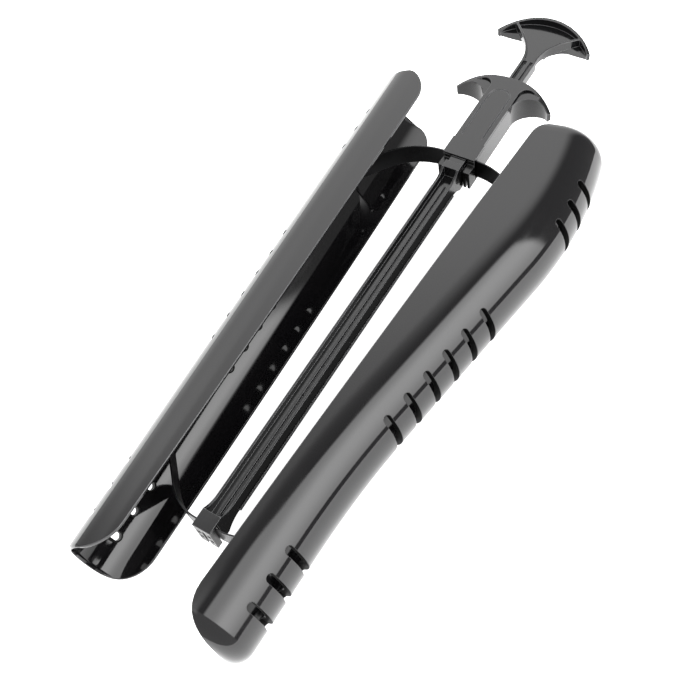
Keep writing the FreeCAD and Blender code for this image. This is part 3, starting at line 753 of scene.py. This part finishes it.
cam = bpy.data.cameras.new("camera")
cam.sensor_width = SENSOR_SIZE
cam.sensor_height = SENSOR_SIZE
cam.lens = LENS
cam.clip_start = NEAR_CLIP
eye = bpy.data.objects.new("camera", cam)
axes = Matrix((CAMERA_RIGHT, CAMERA_UP, CAMERA_BACK)).transposed().to_4x4()
eye.matrix_world = Matrix.Translation(CAMERA_PLACE) @ axes
bpy.context.scene.collection.objects.link(eye)
bpy.context.scene.camera = eye

# Studio levels: a dim room, a long soft box on the right, pale walls, a lamp and a pale front
ROOM_LEVEL = 0.4
BOX_LEVEL = 6.3
BOX_EDGE_SHARE = 0.56
WALL_LEVEL = 2.2
WALL_FOOT_SHARE = 0.6
LAMP_LEVEL = 1.4
FRONT_LEVEL = 0.6

# Soft edges of the studio's lights, as the direction's x, y or z at which each starts and is full
BOX_BEND_Y = (0.26, 0.16)
BOX_BEND_SHIFT = 0.26
BOX_SIDE_X = (0.29, 0.40)
BOX_FRONT_Y = (-0.16, -0.08)
BOX_BACK_Y = (0.46, 0.42)
BOX_FOOT_Z = (0.05, 0.08)
BOX_RISE_Z = (0.0, 0.65)
BOX_FALL_Z = (0.95, 0.68)
WALL_TOP_Z = (1.0, 0.76)
WALL_SIDE_X = (0.25, -0.1)
WALL_FRONT_Y = (-0.02, 0.22)
WALL_RISE_Z = (0.2, 0.75)
LAMP_BACK_Y = (0.16, 0.08)
LAMP_FOOT_Z = (0.88, 0.93)
LAMP_SIDE_X = (-0.1, -0.3)
FRONT_Y = (-0.05, -0.2)

# Floor, the shade card under the rod, and the backdrop, in metres and brightness
FLOOR_RADIUS = 0.38
FLOOR_PLACE = (0, 0.15, -0.0006)
FLOOR_NEAR = 1.0
FLOOR_FAR = 1.6
FLOOR_OVAL = (0.3, 0.42)
FLOOR_RAMP = (0.3, 1.0)
SHADE_PLACE = (0, 0.12, -0.0003)
SHADE_SIZE = (0.045, 0.12, 1)
SHADE_BASE = 0.02
SHADE_MIDDLE = 0.08
SHADE_SIDE = 0.4
SHADE_RAMP = (0.45, 0.6)
BACKDROP_RADIUS = 6.0

world = bpy.data.worlds.new("studio")
bpy.context.scene.world = world
world.use_nodes = True
sky = world.node_tree.nodes
wires = world.node_tree.links


def sky_math(operation, a, b):
    node = sky.new("ShaderNodeMath")
    node.operation = operation
    for socket, value in zip(node.inputs, (a, b)):
        if isinstance(value, (int, float)):
            socket.default_value = value
        else:
            wires.new(value, socket)
    return node.outputs["Value"]


def sky_step(value, edge):
    """Nought before an edge's start, one after its end, and smooth between."""
    node = sky.new("ShaderNodeMapRange")
    node.interpolation_type = "SMOOTHSTEP"
    node.inputs["From Min"].default_value = edge[0]
    node.inputs["From Max"].default_value = edge[1]
    wires.new(value, node.inputs["Value"])
    return node.outputs["Result"]


def sky_all(*masks):
    total = masks[0]
    for mask in masks[1:]:
        total = sky_math("MULTIPLY", total, mask)
    return total


def sky_share(mask, least):
    """A mask that falls only to its least share."""
    return sky_math("ADD", sky_math("MULTIPLY", mask, 1 - least), least)


split = sky.new("ShaderNodeSeparateXYZ")
wires.new(sky.new("ShaderNodeTexCoord").outputs["Generated"], split.inputs["Vector"])
sky_x, sky_y, sky_z = split.outputs
box_side = sky_math("ADD", sky_x, sky_math("MULTIPLY", sky_step(sky_y, BOX_BEND_Y), BOX_BEND_SHIFT))
box_shape = sky_all(sky_step(box_side, BOX_SIDE_X), sky_step(sky_y, BOX_FRONT_Y), sky_step(sky_y, BOX_BACK_Y),
                    sky_step(sky_z, BOX_FOOT_Z))
box_middle = sky_all(sky_step(sky_z, BOX_RISE_Z), sky_step(sky_z, BOX_FALL_Z))
wall_shape = sky_all(sky_step(sky_z, WALL_TOP_Z), sky_step(sky_x, WALL_SIDE_X), sky_step(sky_y, WALL_FRONT_Y))
box_light = sky_all(box_shape, sky_share(box_middle, BOX_EDGE_SHARE))
wall_light = sky_all(wall_shape, sky_share(sky_step(sky_z, WALL_RISE_Z), WALL_FOOT_SHARE))
lamp_light = sky_all(sky_step(sky_y, LAMP_BACK_Y), sky_step(sky_z, LAMP_FOOT_Z), sky_step(sky_x, LAMP_SIDE_X))
front_light = sky_step(sky_y, FRONT_Y)
bright = ROOM_LEVEL
for mask, level in ((box_light, BOX_LEVEL), (wall_light, WALL_LEVEL),
                    (lamp_light, LAMP_LEVEL), (front_light, FRONT_LEVEL)):
    bright = sky_math("ADD", sky_math("MULTIPLY", mask, level), bright)
sky["Background"].inputs["Color"].default_value = (1, 1, 1, 1)
wires.new(bright, sky["Background"].inputs["Strength"])


def glow(name, base=1.0):
    """White surface that lights itself."""
    m = bpy.data.materials.new(name)
    m.use_nodes = True
    shader = m.node_tree.nodes["Principled BSDF"]
    shader.inputs["Base Color"].default_value = (base, base, base, 1)
    shader.inputs["Specular IOR Level"].default_value = 0.0
    shader.inputs["Emission Color"].default_value = (1, 1, 1, 1)
    shader.inputs["Emission Strength"].default_value = 1.0
    return m


def floor_glow():
    """Pale floor that is less bright close to the object, as if in its soft shadow."""
    m = glow("pale_floor")
    nodes = m.node_tree.nodes
    links = m.node_tree.links
    shape = nodes.new("ShaderNodeMapping")
    shape.inputs["Scale"].default_value = (1 / FLOOR_OVAL[0], 1 / FLOOR_OVAL[1], 1)
    links.new(nodes.new("ShaderNodeTexCoord").outputs["Object"], shape.inputs["Vector"])
    reach = nodes.new("ShaderNodeVectorMath")
    reach.operation = "LENGTH"
    links.new(shape.outputs["Vector"], reach.inputs[0])
    level = spread(nodes, links, reach.outputs["Value"], FLOOR_NEAR, FLOOR_FAR, FLOOR_RAMP)
    links.new(level, nodes["Principled BSDF"].inputs["Emission Strength"])
    return m


def shade_glow():
    """Dim card that is darkest along its middle."""
    m = glow("rod_shade", SHADE_BASE)
    nodes = m.node_tree.nodes
    links = m.node_tree.links
    parts = nodes.new("ShaderNodeSeparateXYZ")
    links.new(nodes.new("ShaderNodeTexCoord").outputs["Object"], parts.inputs["Vector"])
    away = nodes.new("ShaderNodeMath")
    away.operation = "ABSOLUTE"
    links.new(parts.outputs["X"], away.inputs[0])
    level = spread(nodes, links, away.outputs["Value"], SHADE_MIDDLE, SHADE_SIDE, SHADE_RAMP)
    links.new(level, nodes["Principled BSDF"].inputs["Emission Strength"])
    return m


bm = bmesh.new()
bmesh.ops.create_circle(bm, cap_ends=True, segments=64, radius=FLOOR_RADIUS)
floor = add_object("floor", bm)
floor.location = FLOOR_PLACE
floor.data.materials.append(floor_glow())

# The self-lit floor takes no shadow, so this card, unseen by the camera, stands for the shade under the rod
bm = bmesh.new()
bmesh.ops.create_grid(bm, x_segments=1, y_segments=1, size=1.0)
shade = add_object("rod_shade", bm)
shade.location = SHADE_PLACE
shade.scale = SHADE_SIZE
shade.data.materials.append(shade_glow())
shade.visible_camera = False

# White backdrop that only the camera sees
bm = bmesh.new()
bmesh.ops.create_uvsphere(bm, u_segments=48, v_segments=24, radius=BACKDROP_RADIUS)
backdrop = add_object("backdrop", bm)
backdrop.data.materials.append(glow("pale_backdrop"))
backdrop.visible_diffuse = False
backdrop.visible_glossy = False
backdrop.visible_transmission = False
backdrop.visible_shadow = False

bpy.context.scene.view_settings.view_transform = "Standard"
